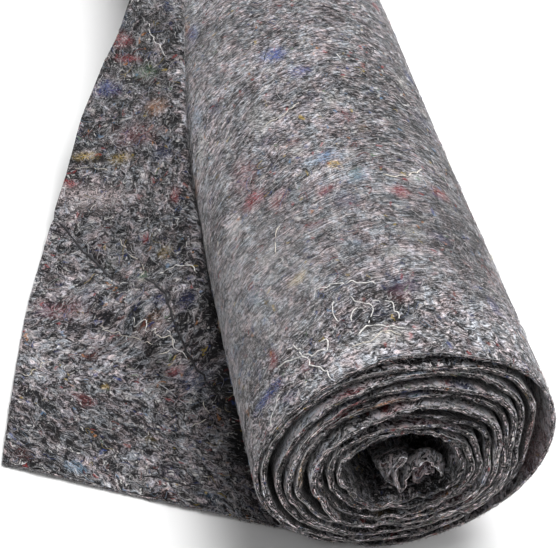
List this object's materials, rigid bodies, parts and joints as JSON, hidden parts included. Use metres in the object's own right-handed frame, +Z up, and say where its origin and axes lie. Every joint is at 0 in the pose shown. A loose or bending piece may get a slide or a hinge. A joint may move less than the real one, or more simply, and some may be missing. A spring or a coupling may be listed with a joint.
{
  "type": "roll of protective fleece",
  "caption": "Loosely wound coreless roll of grey recycled felt lying on its side, with its loose outer end peeled off under one end and leaning against the roll further along.",
  "frame": {"origin": "on the floor under the roll's axis, halfway along the roll, in the middle of its flat spot", "axes": "+Z up, +Y along the roll's axis away from the end whose loose cloth lies flat, +X to the right, with the loose end on the -X side"},
  "size_m": [0.4181, 1.015, 0.2419],
  "materials": {
    "grey_felt": "matte mottled grey felt of mixed waste fibres"
  },
  "bodies": {
    "root": {"wound_fleece": "grey_felt"}
  },
  "joints": []
}
